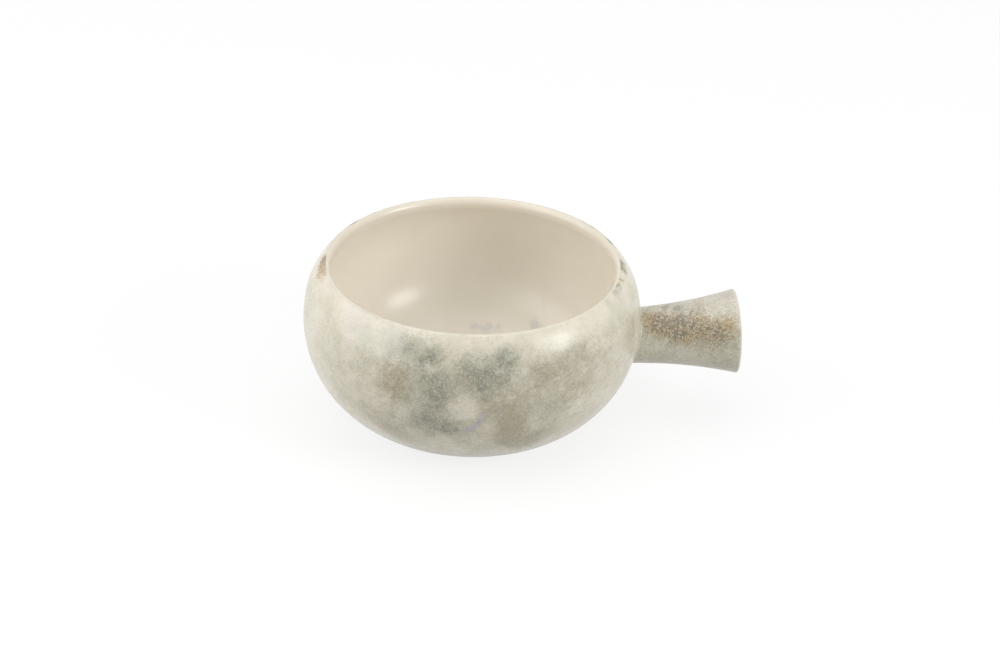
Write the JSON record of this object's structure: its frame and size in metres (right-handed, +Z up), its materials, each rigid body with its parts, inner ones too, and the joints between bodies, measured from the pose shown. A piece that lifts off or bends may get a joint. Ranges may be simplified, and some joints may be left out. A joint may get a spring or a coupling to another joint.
{
  "type": "lug soup bowl",
  "caption": "Round-bellied stoneware soup bowl with an inturned rounded lip, a low foot ring and a hollow flared side handle, cream glaze inside and mottled glaze outside.",
  "frame": {"origin": "on the table, at the middle of the foot ring, under the bowl's axis", "axes": "+Z up along the bowl's axis, +X towards the handle's open end"},
  "size_m": [0.1689, 0.13, 0.0662],
  "materials": {
    "clay": "bare fired stoneware, ground smooth on the foot ring",
    "slip": "fired luting slip, hidden under the glaze",
    "cream_glaze": "glossy plain cream liner glaze",
    "mottled_glaze": "satin-gloss cream glaze with grey-green and olive clouds and fine specks",
    "handle_mottled_glaze": "the same mottled glaze with a brown speckled band along the middle",
    "base_cream_glaze": "plain cream glaze inside the foot ring"
  },
  "bodies": {
    "root": {"bowl_body": "clay", "handle": "clay", "slip_joint": "slip", "liner_glaze": "cream_glaze", "outer_glaze": "mottled_glaze", "handle_glaze": "handle_mottled_glaze", "base_glaze": "base_cream_glaze"}
  },
  "joints": []
}
